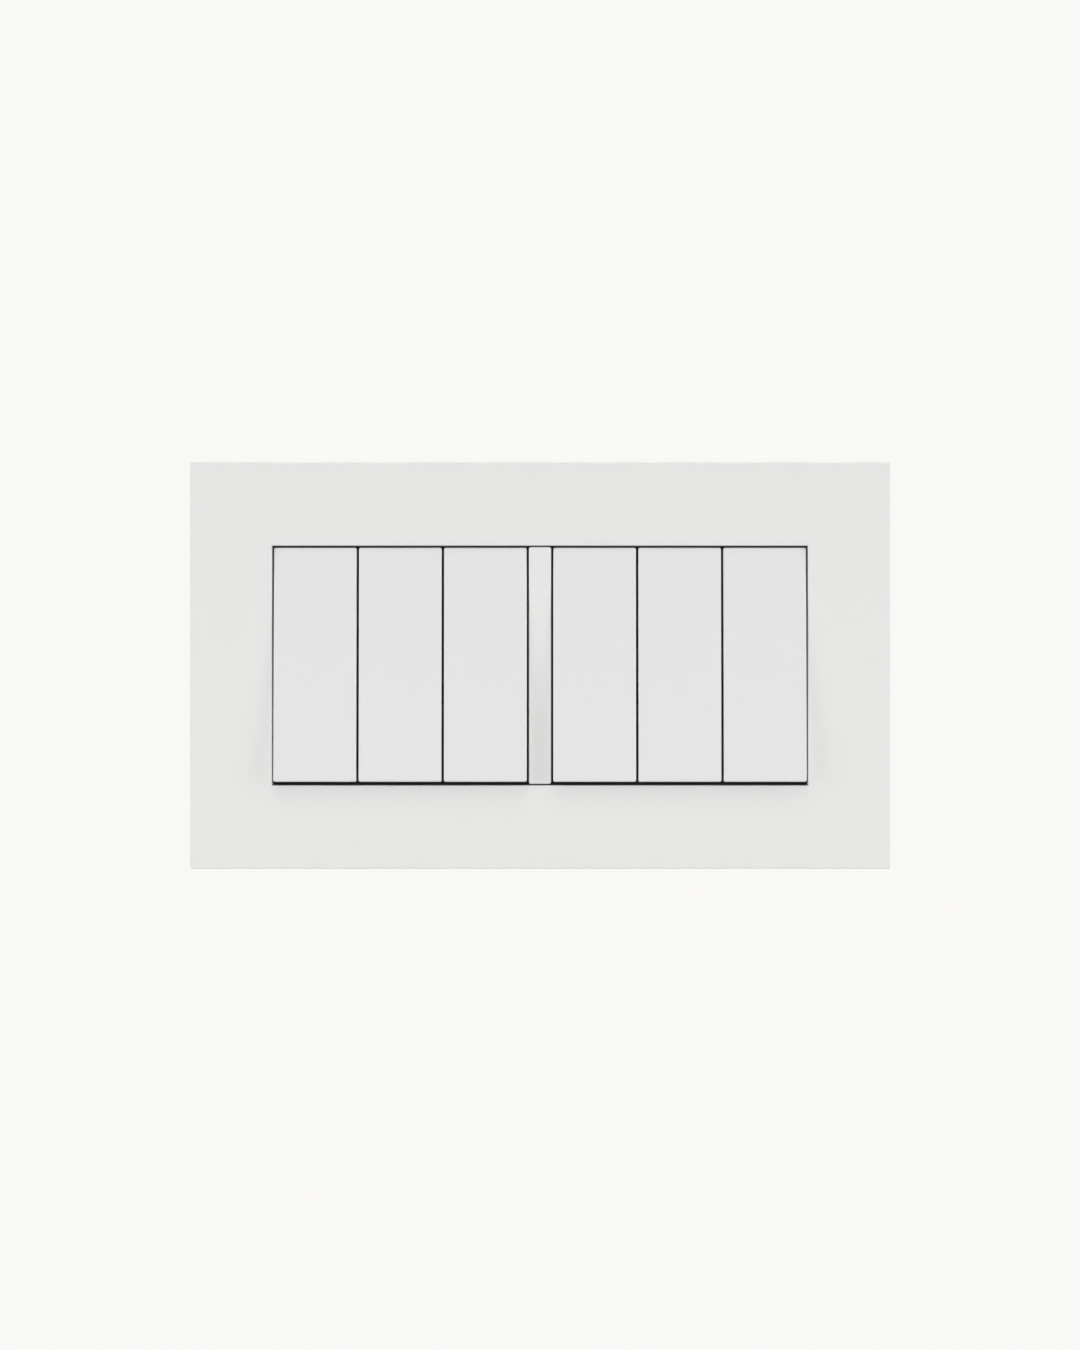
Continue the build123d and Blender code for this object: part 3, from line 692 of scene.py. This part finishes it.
class OBJECT_OT_switch_box_screws(Operator):
    """Thread the two box screws and slot their heads"""

    bl_idname = "object.switch_box_screws"
    bl_label = "Box screws"

    def execute(self, context):
        thread, pitch, core = m35_thread("box_screw_thread", BOX_NECK_END, BOX_END)
        front = PLATE_FRONT - BOX_HEAD_HEIGHT
        rim = [(BOX_HEAD - inset, y) for inset, y in quarter(front, BOX_HEAD_ROUND, BOX_HEAD_STEPS)]
        profile = rim + [(BOX_HEAD, PLATE_FRONT), (BOX_NECK, PLATE_FRONT), (BOX_NECK, BOX_NECK_END),
                         (core, BOX_NECK_END + pitch), (core, BOX_NECK_END + 2 * pitch)]
        head = slotted("box_screw_head", turned_piece(profile, BOX_POINTS), SLOT_HALF_WIDTH,
                       front - CUTTER_PAST, front + SLOT_DEPTH)
        low, high = box_mm("fixing_screws")
        reach = (high[0] - low[0]) / 2 - BOX_HEAD
        places = [(side * reach, 0, turn) for side, turn in zip((-1, 1), BOX_TURNS)]
        mesh = repeated([head, thread], places, "box_screws")
        place(mesh, "box_screws", ["fixing_screws"], finish("zinc_steel"))
        return {"FINISHED"}


class OBJECT_OT_switch_clamp_screws(Operator):
    """Thread the eighteen clamp screws and slot their heads"""

    bl_idname = "object.switch_clamp_screws"
    bl_label = "Clamp screws"

    def execute(self, context):
        thread, _, core = m35_thread("clamp_thread", CLAMP_FRONT + THREAD_FROM_FRONT,
                                     CLAMP_BACK - THREAD_FROM_BACK)
        point = [(radius, CLAMP_FRONT + way) for radius, way in CLAMP_POINT]
        tip = new_mesh("clamp_tip", *turned_piece(point, CLAMP_POINTS))
        collar = [(core, CLAMP_BACK - CLAMP_COLLAR_START)]
        collar += [(radius, CLAMP_BACK - way) for radius, way in CLAMP_COLLAR]
        head = slotted("clamp_collar", turned_piece(collar, CLAMP_POINTS), CLAMP_SLOT_HALF_WIDTH,
                       CLAMP_BACK - CLAMP_SLOT_DEPTH, CLAMP_BACK + CUTTER_PAST)
        places = [
            (pivot_mm(number)[0] + step, side * CLAMP_ROW,
             (GANG_TURN * number + CLAMP_TURN * index) % HALF_TURN)
            for number in GANGS for index, (_, step, side) in enumerate(TERMINALS)]
        mesh = repeated([tip, head, thread], places, "clamp_screws")
        place(mesh, "clamp_screws", ["terminal_screws"], finish("brass_screw"))
        return {"FINISHED"}


class OBJECT_OT_switch_base_screws(Operator):
    """Thread the eight countersunk base screws and slot their heads"""

    bl_idname = "object.switch_base_screws"
    bl_label = "Base screws"

    def execute(self, context):
        cone_end = PLATE_FRONT + BASE_CONE
        profile = [(BASE_HEAD - BASE_HEAD_EDGE, PLATE_FRONT),
                   (BASE_HEAD, PLATE_FRONT + BASE_HEAD_EDGE),
                   (BASE_CORE, cone_end + BASE_CORE_START), (BASE_CORE, cone_end + BASE_CORE_END)]
        head = slotted("base_screw_head", turned_piece(profile, BASE_POINTS), SLOT_HALF_WIDTH,
                       PLATE_FRONT - CUTTER_PAST, PLATE_FRONT + SLOT_DEPTH)
        thread = new_mesh("base_screw_thread", *threaded_rod(
            BASE_CORE, BASE_CREST, BASE_PITCH, cone_end, BASE_END, BASE_THREAD_POINTS))
        columns = [side * BASE_MIDDLE + shift
                   for side in (-1, 1) for shift in (-BASE_COLUMN, BASE_COLUMN)]
        places = [(x, z, (COLUMN_TURN * index + ROW_TURN * (z > 0)) % HALF_TURN)
                  for index, x in enumerate(columns) for z in (-BASE_ROW, BASE_ROW)]
        mesh = repeated([head, thread], places, "deck_screws")
        # The base screws' dark plating is partly painted shade for the gaps between the keys
        place(mesh, "deck_screws", ["base_screws"], finish("black_zinc"))
        return {"FINISHED"}


class OBJECT_OT_switch_marks(Operator):
    """Raise the plain terminal marks on the backs of the two bases"""

    bl_idname = "object.switch_marks"
    bl_label = "Terminal marks"

    def execute(self, context):
        back = box_mm("left_base")[1][1]
        words = [(text, pivot_mm(number)[0] + step, side * MARK_ROW)
                 for number in GANGS for text, step, side in TERMINALS]
        size = context.scene.switch_sizes.mark_height / MM
        mesh = raised_words(words, size, MARK_RISE, back, "terminal_marks")
        mesh.materials.append(finish("charcoal_phenolic"))
        marks = new_object("terminal_marks", mesh)
        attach(marks, "root")
        return {"FINISHED"}


class OBJECT_OT_switch_stage(Operator):
    """Build the backdrop, the studio light and the camera"""

    bl_idname = "object.switch_stage"
    bl_label = "Stage, light and camera"

    def execute(self, context):
        context.scene.view_settings.view_transform = "Standard"
        build_world()
        build_floor()
        for name, lamp in LAMPS.items():
            build_lamp(name, *lamp)
        build_camera()
        return {"FINISHED"}


def mix_seen(tree, unseen, seen, output):
    """Shows the seen shader to the rays that see a surface directly or in gloss or glass, and the
    unseen one to those that only light it."""
    paths = add_node(tree, "ShaderNodeLightPath").outputs
    share = paths["Is Camera Ray"]
    for kind in ("Is Glossy Ray", "Is Transmission Ray"):
        share = add_node(tree, "ShaderNodeMath", {"operation": "MAXIMUM"},
                         {0: share, 1: paths[kind]}).outputs[0]
    mixed = add_node(tree, "ShaderNodeMixShader", links={
        0: share, 1: unseen.outputs[0], 2: seen.outputs[0]})
    add_node(tree, output, links={"Surface": mixed.outputs["Shader"]})


def build_world():
    """Camera, gloss and glass rays see the plain pale backdrop, and all other rays a soft white
    studio."""
    world = bpy.data.worlds.new("Studio")
    bpy.context.scene.world = world
    world.use_nodes = True
    tree = world.node_tree
    tree.nodes.clear()
    soft = add_node(tree, "ShaderNodeBackground",
                    {"Color": (1.0, 1.0, 1.0, 1.0), "Strength": STUDIO_STRENGTH})
    pale = add_node(tree, "ShaderNodeBackground", {"Color": linear(BACKDROP), "Strength": 1.0})
    mix_seen(tree, soft, pale, "ShaderNodeOutputWorld")


def build_floor():
    """The room's plain pale floor, far enough below that the object's shadow on it is too soft to
    see. Camera, gloss and glass rays see it in the backdrop's colour, and other rays see its own
    matt surface."""
    side = FLOOR_SIZE_MM / 2
    corners = np.array([[-side, -side], [side, -side], [side, side], [-side, side]])
    points = np.column_stack([corners, np.full(4, -SWITCH_HEIGHT_MM)])
    mesh = bpy.data.meshes.new("floor")
    mesh.from_pydata((points * MM).tolist(), [], [(0, 1, 2, 3)])
    material = bpy.data.materials.new("pale_floor")
    material.use_nodes = True
    tree = material.node_tree
    tree.nodes.clear()
    matt = add_node(tree, "ShaderNodeBsdfDiffuse", {"Color": linear(BACKDROP)})
    pale = add_node(tree, "ShaderNodeEmission", {"Color": linear(BACKDROP), "Strength": 1.0})
    mix_seen(tree, matt, pale, "ShaderNodeOutputMaterial")
    mesh.materials.append(material)
    floor = new_object("floor", mesh)


def build_lamp(name, azimuth, elevation, distance, width, height, watts, mirrored):
    """A rectangular lamp at a bearing from the front, turned to face the object."""
    a, e = math.radians(azimuth), math.radians(elevation)
    back = np.array([math.sin(a) * math.cos(e), -math.cos(a) * math.cos(e), math.sin(e)])
    lamp = bpy.data.lights.new(name, "AREA")
    lamp.shape = "RECTANGLE"
    lamp.size, lamp.size_y = width, height
    lamp.energy = watts
    thing = new_object(name, lamp)
    thing.visible_glossy = mirrored
    thing.location = back * distance
    thing.rotation_euler = (math.radians(90 - elevation), 0, a)


def build_camera():
    """A long lens straight in front, where the plate is as wide as in the photograph."""
    low, high = box_mm("cover_frame")
    picture_mm = IMAGE_HEIGHT_PX * (high[0] - low[0]) / PLATE_WIDTH_PX
    distance = LENS_MM / SENSOR_MM * picture_mm
    drop = PLATE_ABOVE_MIDDLE_PX * picture_mm / IMAGE_HEIGHT_PX
    lens = bpy.data.cameras.new("camera")
    lens.lens = LENS_MM
    lens.sensor_width = SENSOR_MM
    lens.clip_start, lens.clip_end = NEAREST_M, FARTHEST_M
    camera = new_object("camera", lens)
    camera.location = ((low[0] + high[0]) / 2 * MM, (low[1] - distance) * MM,
                       ((low[2] + high[2]) / 2 - drop) * MM)
    camera.rotation_euler = (math.pi / 2, 0, 0)
    bpy.context.scene.camera = camera


class VIEW3D_PT_switch(Panel):
    """Sidebar panel with the switch's colours, sizes and building steps"""

    bl_idname = "VIEW3D_PT_switch"
    bl_label = "Six-gang switch"
    bl_space_type = "VIEW_3D"
    bl_region_type = "UI"
    bl_category = "Switch"

    def draw(self, context):
        layout = self.layout
        for group in (context.scene.switch_colours, context.scene.switch_sizes):
            for key in group.__annotations__:
                layout.prop(group, key)
        for step in STEPS:
            layout.operator(step.bl_idname)


STEPS = (
    OBJECT_OT_switch_frame,
    OBJECT_OT_switch_keys,
    OBJECT_OT_switch_carrier,
    OBJECT_OT_switch_mechanism,
    OBJECT_OT_switch_springs,
    OBJECT_OT_switch_box_screws,
    OBJECT_OT_switch_clamp_screws,
    OBJECT_OT_switch_base_screws,
    OBJECT_OT_switch_marks,
    OBJECT_OT_switch_stage,
)
CLASSES = (SwitchColours, SwitchSizes) + STEPS + (VIEW3D_PT_switch,)


def register():
    for item in CLASSES:
        bpy.utils.register_class(item)
    bpy.types.Scene.switch_colours = PointerProperty(type=SwitchColours)
    bpy.types.Scene.switch_sizes = PointerProperty(type=SwitchSizes)


def unregister():
    del bpy.types.Scene.switch_sizes
    del bpy.types.Scene.switch_colours
    for item in reversed(CLASSES):
        bpy.utils.unregister_class(item)


def main():
    register()
    bpy.ops.object.switch_frame()
    bpy.ops.object.switch_keys()
    bpy.ops.object.switch_carrier()
    bpy.ops.object.switch_mechanism()
    bpy.ops.object.switch_springs()
    bpy.ops.object.switch_box_screws()
    bpy.ops.object.switch_clamp_screws()
    bpy.ops.object.switch_base_screws()
    bpy.ops.object.switch_marks()
    bpy.ops.object.switch_stage()


if __name__ == "__main__":
    main()
